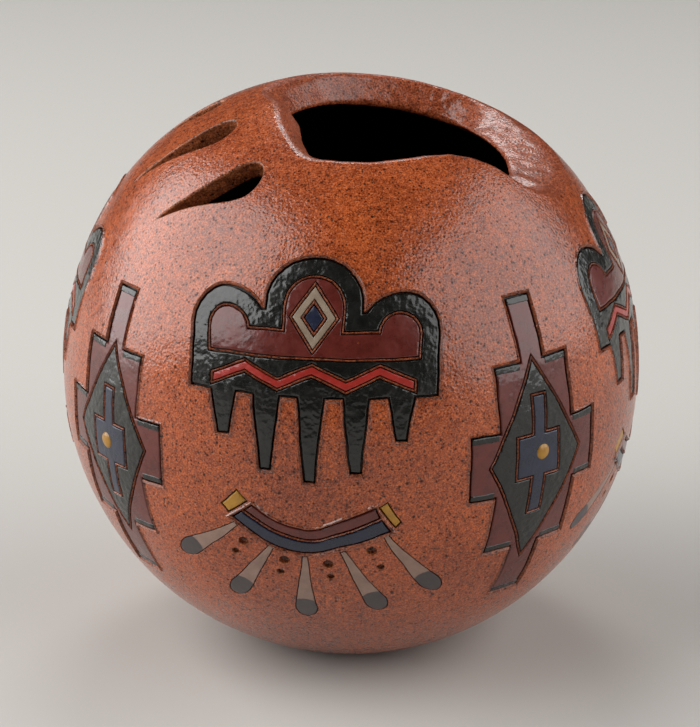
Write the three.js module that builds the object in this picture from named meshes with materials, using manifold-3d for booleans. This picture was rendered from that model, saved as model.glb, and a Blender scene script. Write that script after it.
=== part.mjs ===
// A round earthenware seed pot, thrown or coiled as one hollow ball with a small flat foot.
// A paw-shaped mouth and four claw slots are cut through the shoulder. Four sides of the wall
// carry carved fields filled with coloured slip: four stepped crosses and, between them,
// four rain-cloud panels, each with the bent band of a feather fan below it.
// Millimetres and degrees. +Z is up, the front faces -Y, and the origin is the middle of the foot.

import * as THREE from "three";
import { mergeVertices } from "three/addons/utils/BufferGeometryUtils.js";
import Module from "manifold-3d";

// The ball: a rounded form of revolution about its widest ring
const bodyRadius = 75;
const shoulderRise = 77.7;
const bowlDrop = 74.6;
const shoulderPower = 2.15;
const bowlPower = 1.97;
const footRadius = 22;
const wallThickness = 6.5;
const floorThickness = 7;
const facetsAround = 28;
const bowlFacets = 5;
const shoulderFacets = 7;

// The mouth, a paw pad seen from above, and the claws beside it
const padOutline = [
  [-20.2, 2], [-17.2, -10], [-15.2, -24], [-9.8, -35.2], [1, -38.4], [12, -36.3],
  [23, -31.2], [33.5, -28.1], [43.5, -27.2], [50, -21.5], [52.9, -12], [51.5, 2],
  [45, 15], [34, 25], [20, 29.5], [6, 29], [-6, 24], [-15, 14],
];
const padSteps = 36;
const clawEnds = [[-21.5, -38.5], [-28.4, -16], [-32.3, 7.3], [-27, 29.5]];
const clawHeadings = [168.7, 166.4, 164, 160];
const clawLength = 26.3;
const clawHalfWidth = 4.4;
const clawBend = 1.2;
const clawRoundSteps = 4;
const clawTaperPlace = 0.55;
const clawTaperShare = 0.5;

// Carved fields and the slip laid in them
const recessDepth = 1.5;
const slipThickness = 0.8;
const slipClearance = 0.3;
const fieldGap = 0.3;
const longestStraight = 16;
const cutterDepth = 3 * wallThickness;
const cutterReach = 0.5 * bodyRadius;

// Stepped cross, measured along the skin from the widest ring and from its own middle line
const crossLongitudes = [38, 127.5, 217.5, 306.4];
const topBarHalfWidth = 3.6;
const topBarEnd = 39.4;
const upperStepHalfWidth = 11.4;
const upperStepTop = 23.7;
const armHalfWidth = 19.8;
const armTop = 7.3;
const armBottom = -9.8;
const lowerStepHalfWidth = 12.6;
const lowerStepBottom = -26.3;
const bottomBarHalfWidth = 4.5;
const bottomBarEnd = -43.5;
const diamondHalfWidth = 14.1;
const diamondTop = 23.7;
const diamondMiddle = -1.4;
const diamondBottom = -29.6;
const blueMiddles = [-0.6, -1.4, -1, -3];
const blueBarHalfWidth = 1.8;
const blueBarReach = 15.4;
const blueBlockHalfWidth = 6.4;
const blueBlockHalfHeight = 5.4;
const dotRadius = 2;
const dotSides = 8;
const dotShifts = [[1, 0.5], [-0.5, 0.3], [0.4, -0.5], [-1, 0.2]];

// Rain-cloud panel: three round lobes on a base band, with bars of rain below
const panelLongitudes = [-7.6, 82.4, 172.4, 262.4];
const cloudHalfWidth = 31;
const cloudBase = 19;
const sideLobeRadius = 10;
const sideLobeSpring = 34;
const sideLobeSteps = 4;
const topLobeRadius = 12;
const topLobeSpring = 40.5;
const topLobeTurn = 72;
const topLobeSteps = 2;
const blackBorder = 5;
const blackBaseBand = 9.6;
const cloudLevel = 39.5;
const lozengeHalfWidth = 5.4;
const lozengeHalfHeight = 7.6;
const lozengeMiddle = 38;
const blueLozengeHalfWidth = 2.4;
const blueLozengeHalfHeight = 3.4;
const lightningHalfWidth = 25;
const lightningHalfHeight = 1.9;
const lightningThickness = 2.2;
const lightningTurns = 6;
const rainBars = 5;
const rainSpacing = 11;
const rainTopHalfWidth = 3.4;
const rainEndHalfWidth = 1.5;
const middleRainEnd = -2;
const rainRise = 2.6;

// Feather fan: a bent double band with a tab at each end
const fanLongitudes = [-8.4, 81.6, 171.6, 261.6];
const bandTop = -15;
const bandSlope = 0.56;
const bandBend = 4;
const bandHalfLength = 15.7;
const bandSteps = 6;
const maroonBandWidth = 3.6;
const blueBandWidth = 3.8;
const tabLength = 3.8;
const tabOverhang = 0.4;

const clay = { color: 0x8c3c20, roughness: 0.38, metalness: 0 };
const maroonSlip = { color: 0x4a1a14, roughness: 0.4, metalness: 0 };
const blackSlip = { color: 0x14160f, roughness: 0.3, metalness: 0 };
const greySlip = { color: 0x8d7a68, roughness: 0.5, metalness: 0 };
const blueSlip = { color: 0x2c3450, roughness: 0.35, metalness: 0 };
const redSlip = { color: 0xa0241c, roughness: 0.4, metalness: 0 };
const ochreSlip = { color: 0xb8861e, roughness: 0.45, metalness: 0 };

const wasm = await Module();
wasm.setup();

// A closed three.js geometry becomes a solid that can be joined and cut.
function solidOf(geometry) {
  geometry.deleteAttribute("normal");
  geometry.deleteAttribute("uv");
  const merged = mergeVertices(geometry, 1e-4);
  return new wasm.Manifold(
    new wasm.Mesh({
      numProp: 3,
      vertProperties: merged.attributes.position.array,
      triVerts: new Uint32Array(merged.index.array),
    }),
  );
}

function joined(solids) {
  return solids.reduce((whole, next) => whole.add(next));
}

// Distance from the ball's middle to its skin at a latitude in radians.
function reach(latitude) {
  const high = latitude > 0;
  const power = high ? shoulderPower : bowlPower;
  const side = Math.cos(latitude) / bodyRadius;
  const tall = Math.abs(Math.sin(latitude)) / (high ? shoulderRise : bowlDrop);
  return (side ** power + tall ** power) ** (-1 / power);
}

// Height of the foot below the widest ring, where the bowl is as wide as the foot.
const footDrop = bowlDrop * (1 - (footRadius / bodyRadius) ** bowlPower) ** (1 / bowlPower);

// The ball's solid, drawn in by an inset all round and closed by a flat of the foot's width.
function ball(inset, flatDrop) {
  const lowest = bowlDrop - inset;
  const flatAngle = Math.asin(Math.min(1, flatDrop / lowest) ** (bowlPower / 2));
  const profile = [new THREE.Vector2(0, -flatDrop)];
  for (let i = -bowlFacets; i <= shoulderFacets; i++) {
    const angle = i > 0 ? ((Math.PI / 2) * i) / shoulderFacets : (flatAngle * -i) / bowlFacets;
    const power = i > 0 ? shoulderPower : bowlPower;
    const height = i > 0 ? shoulderRise - inset : -lowest;
    const radius = (bodyRadius - inset) * Math.abs(Math.cos(angle)) ** (2 / power);
    profile.push(new THREE.Vector2(radius, height * Math.sin(angle) ** (2 / power)));
  }
  profile[profile.length - 1].x = 0;
  return solidOf(new THREE.LatheGeometry(profile, facetsAround).rotateX(Math.PI / 2));
}

// Direction from the ball's middle to a place on the skin, given in arcs of millimetres to the
// right of a longitude and above the widest ring.
function onSide(longitude) {
  return (x, y) => {
    const latitude = y / bodyRadius;
    const turn = THREE.MathUtils.degToRad(longitude) + x / (reach(latitude) * Math.cos(latitude));
    const flat = Math.cos(latitude);
    return new THREE.Vector3(flat * Math.sin(turn), -flat * Math.cos(turn), Math.sin(latitude));
  };
}

// Direction to a place on the shoulder, given as it is seen from above.
function onShoulder(x, y) {
  const share = Math.min(0.99, Math.hypot(x, y) / bodyRadius);
  const z = shoulderRise * (1 - share ** shoulderPower) ** (1 / shoulderPower);
  return new THREE.Vector3(x, y, z).normalize();
}

// An outline with its long edges divided, so that each follows the curve of the skin.
function divided(outline) {
  return outline.flatMap(([x, y], i) => {
    const [nextX, nextY] = outline[(i + 1) % outline.length];
    const parts = Math.ceil(Math.hypot(nextX - x, nextY - y) / longestStraight);
    return Array.from({ length: parts }, (_, k) => [
      x + ((nextX - x) * k) / parts,
      y + ((nextY - y) * k) / parts,
    ]);
  });
}

// An outline moved outwards all round by a distance, or inwards where that is negative.
function grown(outline, distance) {
  const turn = Math.sign(THREE.ShapeUtils.area(outline.map(([x, y]) => ({ x, y }))));
  return outline.map((point, i) => {
    const before = outline[(i + outline.length - 1) % outline.length];
    const after = outline[(i + 1) % outline.length];
    const into = new THREE.Vector2(point[0] - before[0], point[1] - before[1]).normalize();
    const out = new THREE.Vector2(after[0] - point[0], after[1] - point[1]).normalize();
    const normal = new THREE.Vector2(into.y + out.y, -into.x - out.x).normalize();
    const mitre = (turn * distance) / (normal.x * out.y - normal.y * out.x);
    return [point[0] + normal.x * mitre, point[1] + normal.y * mitre];
  });
}

// A wedge from inside the wall to well outside it, whose sides all point at the ball's middle.
function wedge(outline, direction) {
  const inner = bodyRadius - cutterDepth;
  const outer = bodyRadius + cutterReach;
  const shape = new THREE.Shape(divided(outline).map(([x, y]) => new THREE.Vector2(x, y)));
  const geometry = new THREE.ExtrudeGeometry(shape, { depth: 1, bevelEnabled: false });
  const position = geometry.attributes.position;
  for (let i = 0; i < position.count; i++) {
    const ray = direction(position.getX(i), position.getY(i));
    ray.multiplyScalar(position.getZ(i) > 0.5 ? outer : inner);
    position.setXYZ(i, ray.x, ray.y, ray.z);
  }
  return solidOf(geometry);
}

function wedges(outlines, direction) {
  return joined(outlines.map((outline) => wedge(outline, direction)));
}

function disc(x, y, radius, sides) {
  return Array.from({ length: sides }, (_, i) => {
    const angle = (2 * Math.PI * i) / sides;
    return [x + radius * Math.cos(angle), y + radius * Math.sin(angle)];
  });
}

function mirrored(rightHalf) {
  const leftHalf = rightHalf.map(([x, y]) => [-x, y]).reverse();
  return [...rightHalf, ...leftHalf];
}

// Stepped cross: maroon steps round a black diamond, a blue cross on it and an ochre dot.
function crossFields(blueMiddle, [dotRight, dotUp]) {
  const steps = mirrored([
    [bottomBarHalfWidth, bottomBarEnd], [bottomBarHalfWidth, lowerStepBottom],
    [lowerStepHalfWidth, lowerStepBottom], [lowerStepHalfWidth, armBottom],
    [armHalfWidth, armBottom], [armHalfWidth, armTop],
    [upperStepHalfWidth, armTop], [upperStepHalfWidth, upperStepTop],
    [topBarHalfWidth, upperStepTop], [topBarHalfWidth, topBarEnd],
  ]);
  const diamond = [
    [0, diamondBottom], [diamondHalfWidth, diamondMiddle],
    [0, diamondTop], [-diamondHalfWidth, diamondMiddle],
  ];
  const blueCross = mirrored([
    [blueBarHalfWidth, blueMiddle - blueBarReach],
    [blueBarHalfWidth, blueMiddle - blueBlockHalfHeight],
    [blueBlockHalfWidth, blueMiddle - blueBlockHalfHeight],
    [blueBlockHalfWidth, blueMiddle + blueBlockHalfHeight],
    [blueBarHalfWidth, blueMiddle + blueBlockHalfHeight],
    [blueBarHalfWidth, blueMiddle + blueBarReach],
  ]);
  const dot = disc(dotRight, blueMiddle + dotUp, dotRadius, dotSides);
  return [
    {
      name: "steps_maroon",
      finish: maroonSlip,
      outlines: [steps],
      openings: [grown(diamond, fieldGap)],
      recess: [steps],
    },
    {
      name: "diamond_black",
      finish: blackSlip,
      outlines: [diamond],
      openings: [grown(blueCross, fieldGap)],
    },
    { name: "cross_blue", finish: blueSlip, outlines: [blueCross], openings: [dot] },
    { name: "dot_ochre", finish: ochreSlip, outlines: [dot], face: dotFace },
  ];
}

// The points of an arc from one angle to another, in radians.
function arc(x, y, radius, from, to, steps) {
  return Array.from({ length: steps + 1 }, (_, i) => {
    const angle = from + ((to - from) * i) / steps;
    return [x + radius * Math.cos(angle), y + radius * Math.sin(angle)];
  });
}

// The right half of the cloud's edge from its base up to the middle, drawn in by a border: a side
// lobe, a level stretch and half of the top lobe.
function cloudEdge(border, bottom) {
  const sideMiddle = cloudHalfWidth - sideLobeRadius;
  const sideRadius = sideLobeRadius - border;
  const topRadius = topLobeRadius - border;
  const level = cloudLevel - border;
  const meeting = Math.PI - Math.asin((level - sideLobeSpring) / sideRadius);
  return [
    [cloudHalfWidth - border, bottom],
    ...arc(sideMiddle, sideLobeSpring, sideRadius, 0, meeting, sideLobeSteps),
    [topRadius, level],
    ...arc(0, topLobeSpring, topRadius, 0, THREE.MathUtils.degToRad(topLobeTurn), topLobeSteps),
  ];
}

function lozenge(halfWidth, halfHeight) {
  return [
    [0, lozengeMiddle - halfHeight], [halfWidth, lozengeMiddle],
    [0, lozengeMiddle + halfHeight], [-halfWidth, lozengeMiddle],
  ];
}

// Rain-cloud panel: a black cloud with rain, a maroon heart that holds a grey lozenge with a blue
// one in it, and a red line of lightning across the base.
function panelFields() {
  const rain = [];
  for (let i = 0; i < rainBars; i++) {
    const place = i - (rainBars - 1) / 2;
    const x = place * rainSpacing;
    const end = middleRainEnd + rainRise * place ** 2;
    rain.push([x - rainTopHalfWidth, cloudBase], [x - rainEndHalfWidth, end]);
    rain.push([x + rainEndHalfWidth, end], [x + rainTopHalfWidth, cloudBase]);
  }
  const cloud = [...rain, ...mirrored(cloudEdge(0, cloudBase))];
  const heart = mirrored(cloudEdge(blackBorder, cloudBase + blackBaseBand));
  const greyLozenge = lozenge(lozengeHalfWidth, lozengeHalfHeight);
  const blueLozenge = lozenge(blueLozengeHalfWidth, blueLozengeHalfHeight);
  const turns = Array.from({ length: lightningTurns + 1 }, (_, i) => [
    lightningHalfWidth * ((2 * i) / lightningTurns - 1),
    cloudBase + blackBaseBand / 2 + (i % 2 ? lightningHalfHeight : -lightningHalfHeight),
  ]);
  const lightning = [
    ...turns.map(([x, y]) => [x, y - lightningThickness / 2]),
    ...turns.map(([x, y]) => [x, y + lightningThickness / 2]).reverse(),
  ];
  return [
    {
      name: "cloud_black",
      finish: blackSlip,
      outlines: [cloud],
      openings: [heart, lightning],
      recess: [cloud],
    },
    { name: "heart_maroon", finish: maroonSlip, outlines: [heart], openings: [greyLozenge] },
    { name: "lozenge_grey", finish: greySlip, outlines: [greyLozenge], openings: [blueLozenge] },
    { name: "lozenge_blue", finish: blueSlip, outlines: [blueLozenge] },
    { name: "lightning_red", finish: redSlip, outlines: [lightning] },
  ];
}

// A place on the fan's bent band: along it from the middle, and outwards below its top edge.
function onBand(along, below) {
  const slope = (bandSlope * along) / Math.hypot(along, bandBend);
  const rise = bandSlope * (Math.hypot(along, bandBend) - bandBend);
  const length = Math.hypot(1, slope);
  return [along + (below * slope) / length, bandTop + rise - below / length];
}

function bandStrip(from, to, above, below) {
  const line = Array.from({ length: bandSteps + 1 }, (_, i) => from + ((to - from) * i) / bandSteps);
  return [
    ...line.map((along) => onBand(along, below)),
    ...line.map((along) => onBand(along, above)).reverse(),
  ];
}

// Feather fan: maroon and blue bands with an ochre tab at each end.
function fanFields() {
  const bandEnd = maroonBandWidth + fieldGap + blueBandWidth;
  const tabStart = bandHalfLength + fieldGap;
  const tab = (side) => [
    onBand(side * tabStart, -tabOverhang), onBand(side * tabStart, bandEnd + tabOverhang),
    onBand(side * (tabStart + tabLength), bandEnd + tabOverhang),
    onBand(side * (tabStart + tabLength), -tabOverhang),
  ];
  const half = bandHalfLength;
  const band = (above, below) => [bandStrip(-half, half, above, below)];
  return [
    {
      name: "band_maroon",
      finish: maroonSlip,
      outlines: band(0, maroonBandWidth),
      recess: [bandStrip(-half - fieldGap, half + fieldGap, 0, bandEnd), tab(-1), tab(1)],
    },
    { name: "band_blue", finish: blueSlip, outlines: band(maroonBandWidth + fieldGap, bandEnd) },
    { name: "tab_left_ochre", finish: ochreSlip, outlines: [tab(-1)] },
    { name: "tab_right_ochre", finish: ochreSlip, outlines: [tab(1)] },
  ];
}

// A claw slot seen from above, from its round end to its point, with a slight bend.
function claw([endX, endY], heading) {
  const turn = THREE.MathUtils.degToRad(heading);
  const side = [];
  for (let i = 1; i <= clawRoundSteps; i++) {
    const angle = (Math.PI / 2) * (i / clawRoundSteps);
    side.push([clawHalfWidth * (1 - Math.cos(angle)), clawHalfWidth * Math.sin(angle)]);
  }
  side.push([clawLength * clawTaperPlace, clawHalfWidth * clawTaperShare]);
  const whole = [[0, 0], ...side, [clawLength, 0], ...side.map(([a, w]) => [a, -w]).reverse()];
  return whole.map(([along, across]) => {
    const bent = across + clawBend * Math.sin((Math.PI * along) / clawLength);
    return [
      endX + along * Math.cos(turn) - bent * Math.sin(turn),
      endY + along * Math.sin(turn) + bent * Math.cos(turn),
    ];
  });
}

const pot = new THREE.Group();

function addPiece(name, finish, solid) {
  const { vertProperties, triVerts } = solid.getMesh();
  const geometry = new THREE.BufferGeometry();
  geometry.setAttribute("position", new THREE.BufferAttribute(vertProperties, 3));
  geometry.setIndex(new THREE.BufferAttribute(triVerts, 1));
  geometry.computeVertexNormals();
  const mesh = new THREE.Mesh(geometry, new THREE.MeshStandardMaterial(finish));
  mesh.name = name;
  mesh.position.z = footDrop;
  pot.add(mesh);
}

// The shells that bound the slip: its face, its back and the floor of the carving
const slipFace = ball(recessDepth - slipClearance - slipThickness, footDrop);
const dotFace = ball(0, footDrop);
const slipBack = ball(recessDepth - slipClearance, footDrop);
const carvedFloor = ball(recessDepth, footDrop);

const motifs = [
  ...crossLongitudes.map((longitude, i) => [
    `cross_${i + 1}`, longitude, crossFields(blueMiddles[i], dotShifts[i]),
  ]),
  ...panelLongitudes.map((longitude, i) => [`panel_${i + 1}`, longitude, panelFields()]),
  ...fanLongitudes.map((longitude, i) => [`fan_${i + 1}`, longitude, fanFields()]),
];

const carving = [];
for (const [motif, longitude, fields] of motifs) {
  const direction = onSide(longitude);
  for (const { name, finish, outlines, openings = [], recess, face = slipFace } of fields) {
    if (recess) carving.push(wedges(recess, direction));
    let slip = wedges(outlines.map((outline) => grown(outline, -slipClearance)), direction);
    if (openings.length) slip = slip.subtract(wedges(openings, direction));
    addPiece(`${motif}_${name}`, finish, slip.intersect(face).subtract(slipBack));
  }
}

// The wall: the ball less its hollow, its mouth and claws, and its carving
const padCurve = new THREE.SplineCurve(
  [...padOutline, padOutline[0]].map(([x, y]) => new THREE.Vector2(x, y)),
);
const pad = padCurve.getSpacedPoints(padSteps).slice(0, -1).map(({ x, y }) => [x, y]);
const claws = clawEnds.map((end, i) => claw(end, clawHeadings[i]));
const hollow = ball(wallThickness, footDrop - floorThickness);
const carved = joined(carving).subtract(carvedFloor);
const cut = wedges([pad, ...claws], onShoulder);
const wall = ball(0, footDrop).subtract(hollow).subtract(cut).subtract(carved);
addPiece("pot_wall", clay, wall);

export default pot;
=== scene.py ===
import math

import bmesh
import bpy
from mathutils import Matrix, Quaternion, Vector, noise


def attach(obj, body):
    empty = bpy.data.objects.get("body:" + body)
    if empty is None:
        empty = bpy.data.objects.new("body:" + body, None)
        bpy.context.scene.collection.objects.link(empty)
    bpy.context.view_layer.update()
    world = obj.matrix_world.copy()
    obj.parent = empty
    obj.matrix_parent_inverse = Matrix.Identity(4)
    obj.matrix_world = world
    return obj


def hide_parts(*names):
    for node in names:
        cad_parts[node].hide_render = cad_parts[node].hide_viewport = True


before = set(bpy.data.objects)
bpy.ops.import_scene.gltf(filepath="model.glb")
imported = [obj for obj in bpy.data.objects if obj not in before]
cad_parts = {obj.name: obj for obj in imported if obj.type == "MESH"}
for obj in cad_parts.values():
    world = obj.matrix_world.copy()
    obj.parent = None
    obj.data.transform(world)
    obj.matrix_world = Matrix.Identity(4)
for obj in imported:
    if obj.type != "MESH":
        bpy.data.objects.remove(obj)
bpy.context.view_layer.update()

# Without a seed, vector noise starts from the clock and the drawing wanders anew in every run
NOISE_SEED = 1
noise.seed_set(NOISE_SEED)

# The clay wall is one hollow ball of coarse red-brown earthenware, coiled, scraped and
# burnished by hand, so its skin is not perfectly even. It stands on a small flat foot and is
# left smooth and dark inside, where painted shade darkens it further away from the mouth.
# Lengths are in millimetres until a shape is put in its place.
BODY_RADIUS = 75
SHOULDER_RISE = 77.7
BOWL_DROP = 74.6
SHOULDER_POWER = 2.15
BOWL_POWER = 1.97
FOOT_RADIUS = 22
FOOT_EDGE = 1.2
FLOOR_THICKNESS = 7
WALL_THICKNESS = 6.5
CLAW_THICKNESS = 5.4
LIP_THICKNESS = 8.6
MOUTH_MIDDLE = (16.5, -4.5)
MOUTH_HALF_SIZE = (36.5, 34)
OUTER_ROWS = 112
INNER_ROWS = 84
AROUND = 240
SMOOTH_ANGLE = math.radians(48)
# Waves that the hand left in the skin: how high they are, and how quickly they follow
SLOW_WAVE = (0.22, 2.1)
QUICK_WAVE = (0.07, 7.5)
# Where something starts and ends: on the upright share of a direction, or from the mouth
EVEN_FOOT = (-0.93, -0.73)
THINNED_SHOULDER = (0.35, 0.6)
THICK_ROUND_MOUTH = (1.06, 1.32)
# Inside, a band round the mouth is left free of painted shade; below this upright share all is
# shaded
UNSHADED_ROUND_MOUTH = (0.95, 1.3)
LOWEST_UNSHADED = 0.3
FOOT_DROP = BOWL_DROP * (1 - (FOOT_RADIUS / BODY_RADIUS) ** BOWL_POWER) ** (1 / BOWL_POWER)


def reach(latitude):
    """Distance from the ball's middle to its even skin."""
    high = latitude > 0
    power = SHOULDER_POWER if high else BOWL_POWER
    side = abs(math.cos(latitude)) / BODY_RADIUS
    tall = abs(math.sin(latitude)) / (SHOULDER_RISE if high else BOWL_DROP)
    return (side**power + tall**power) ** (-1 / power)


def unevenness(direction):
    """What the potter's hand left on the skin, fading out towards the foot."""
    slow = SLOW_WAVE[0] * noise.noise(direction * SLOW_WAVE[1] + Vector((3, 7, 1)))
    quick = QUICK_WAVE[0] * noise.noise(direction * QUICK_WAVE[1] + Vector((5, 2, 9)))
    start, end = EVEN_FOOT
    return (slow + quick) * min(1, max(0, (direction.z - start) / (end - start)))


def eased(value, start, end):
    """Rises smoothly from 0 at the start to 1 at the end."""
    share = min(1, max(0, (value - start) / (end - start)))
    return share * share * (3 - 2 * share)


def from_mouth(direction):
    """How far a place is from the middle of the mouth: about 1 at its edge."""
    distance = reach(math.asin(direction.z))
    return math.hypot(
        (direction.x * distance - MOUTH_MIDDLE[0]) / MOUTH_HALF_SIZE[0],
        (direction.y * distance - MOUTH_MIDDLE[1]) / MOUTH_HALF_SIZE[1],
    )


def thickness(direction):
    """The wall is scraped thin on the shoulder, where the claws are, and left thick at the lip."""
    shoulder = eased(direction.z, *THINNED_SHOULDER)
    near_lip = 1 - eased(from_mouth(direction), *THICK_ROUND_MOUTH)
    lip = near_lip * (LIP_THICKNESS - CLAW_THICKNESS)
    return WALL_THICKNESS + shoulder * (CLAW_THICKNESS + lip - WALL_THICKNESS)


def in_place(direction, height):
    """A point over the uneven skin, in metres in the pot's own frame."""
    latitude = math.asin(max(-1, min(1, direction.z)))
    point = direction * (reach(latitude) + unevenness(direction) + height)
    return Vector((point.x, point.y, point.z + FOOT_DROP)) / 1000


def on_side(longitude):
    """Direction to a place that is given in arcs to the right of a longitude and upwards."""

    def direction(x, y):
        latitude = y / BODY_RADIUS
        turn = math.radians(longitude) + x / (reach(latitude) * math.cos(latitude))
        flat = math.cos(latitude)
        return Vector((flat * math.sin(turn), -flat * math.cos(turn), math.sin(latitude)))

    return direction


def new_piece(name, bm, *finishes):
    """Makes an object of a finished mesh."""
    mesh = bpy.data.meshes.new(name)
    bm.to_mesh(mesh)
    bm.free()
    piece = bpy.data.objects.new(name, mesh)
    bpy.context.scene.collection.objects.link(piece)
    for finish in finishes:
        mesh.materials.append(finish)
    return piece


def combine(piece, other, operation):
    """Cuts a piece with another, joins them or keeps what they share, and drops the other."""
    tool = piece.modifiers.new("combine", "BOOLEAN")
    tool.solver = "MANIFOLD"
    tool.material_mode = "TRANSFER"
    tool.operation = operation
    tool.object = other
    shape = bpy.data.meshes.new_from_object(
        piece.evaluated_get(bpy.context.evaluated_depsgraph_get())
    )
    piece.modifiers.clear()
    piece.data = shape
    bpy.data.objects.remove(other)
    return piece


def smooth(piece):
    """Shades a piece smooth, with its real edges kept."""
    piece.data.polygons.foreach_set("use_smooth", [True] * len(piece.data.polygons))
    piece.data.set_sharp_from_angle(angle=SMOOTH_ANGLE)
    weighted = piece.modifiers.new("weighted", "WEIGHTED_NORMAL")
    weighted.keep_sharp = True
    return piece


def linear(colour):
    """sRGB hex to the linear values that a shader takes."""
    parts = [int(colour[i : i + 2], 16) / 255 for i in (1, 3, 5)]
    return [p / 12.92 if p <= 0.04045 else ((p + 0.055) / 1.055) ** 2.4 for p in parts] + [1]


def new_material(name):
    """Makes a material and gives it with its shader."""
    material = bpy.data.materials.new(name)
    material.use_nodes = True
    return material, material.node_tree.nodes["Principled BSDF"]


def add_node(material, kind, settings, links):
    """Adds a node, with its own settings, and its sockets set to a value or linked."""
    node = material.node_tree.nodes.new(kind)
    for setting, value in settings.items():
        setattr(node, setting, value)
    for socket, value in links.items():
        if isinstance(value, bpy.types.NodeSocket):
            material.node_tree.links.new(value, node.inputs[socket])
        else:
            node.inputs[socket].default_value = value
    return node


# Each of these adds one node and gives its result
def add_place(material):
    """A place on the piece, in metres."""
    return add_node(material, "ShaderNodeTexCoord", {}, {}).outputs["Object"]


def add_attribute(material, name):
    """A value that the points of the piece carry."""
    node = add_node(material, "ShaderNodeAttribute", {"attribute_name": name}, {})
    return node.outputs["Fac"]


def add_noise(material, where, scale, detail, roughness):
    """Noise with so many patches to a metre."""
    links = {"Vector": where, "Scale": scale, "Detail": detail, "Roughness": roughness}
    return add_node(material, "ShaderNodeTexNoise", {}, links).outputs["Fac"]


def add_math(material, operation, *values, clamp=False):
    """A sum, a product or the like of some values."""
    settings = {"operation": operation, "use_clamp": clamp}
    return add_node(material, "ShaderNodeMath", settings, dict(enumerate(values))).outputs[0]


def add_range(material, value, old, new=(0, 1), clamp=True):
    """A value moved from one range to another."""
    links = {"Value": value, "From Min": old[0], "From Max": old[1]}
    links.update({"To Min": new[0], "To Max": new[1]})
    return add_node(material, "ShaderNodeMapRange", {"clamp": clamp}, links).outputs[0]


def add_ramp(material, value, *stops):
    """The colour that two stops, each a value and a colour, give to a value."""
    node = add_node(material, "ShaderNodeValToRGB", {}, {"Fac": value})
    for element, (position, colour) in zip(node.color_ramp.elements, stops):
        element.position = position
        element.color = linear(colour)
    return node.outputs["Color"]


def add_mix(material, share, first, second):
    """Two colours mixed, with a share of the second."""
    links = {"Factor": share, 6: first, 7: second}
    return add_node(material, "ShaderNodeMix", {"data_type": "RGBA"}, links).outputs[2]


def add_bump(material, height, depth, normal=None):
    """The normal of some relief whose depth is in metres, over another relief or none."""
    links = {"Strength": 1, "Distance": depth, "Height": height}
    if normal is not None:
        links["Normal"] = normal
    return add_node(material, "ShaderNodeBump", {}, links).outputs["Normal"]


CLAY_IOR = 1.45
SAND_COLOUR = "#c28a5e"
# The near-black of the painted shade deep inside the pot
INSIDE_SHADE_COLOUR = "#0c0907"
# How many marks of each pattern in clay and slip there are to a metre
CLOUDS = 33
PATCHES = 620
GRAINS = 2400
SANDS = 1600
SCRAPES = 210
SLIP_PATCHES = 260
BRUSH_RIDGES = 600
# How deep the scraper's marks are, in metres, as a shader takes it
SCRAPE_DEPTH = 0.0002
# Each kind of grit: its spacing and its size in millimetres, and how dark it is
GRIT = ((3.4, 0.4, 0.9), (1.7, 0.34, 0.9), (0.9, 0.28, 0.8))
# The depths below the skin, in millimetres, between which carved clay turns dark with painted
# shade
RECESS_SHADE_DEPTHS = (0.1, 0.5)


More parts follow.
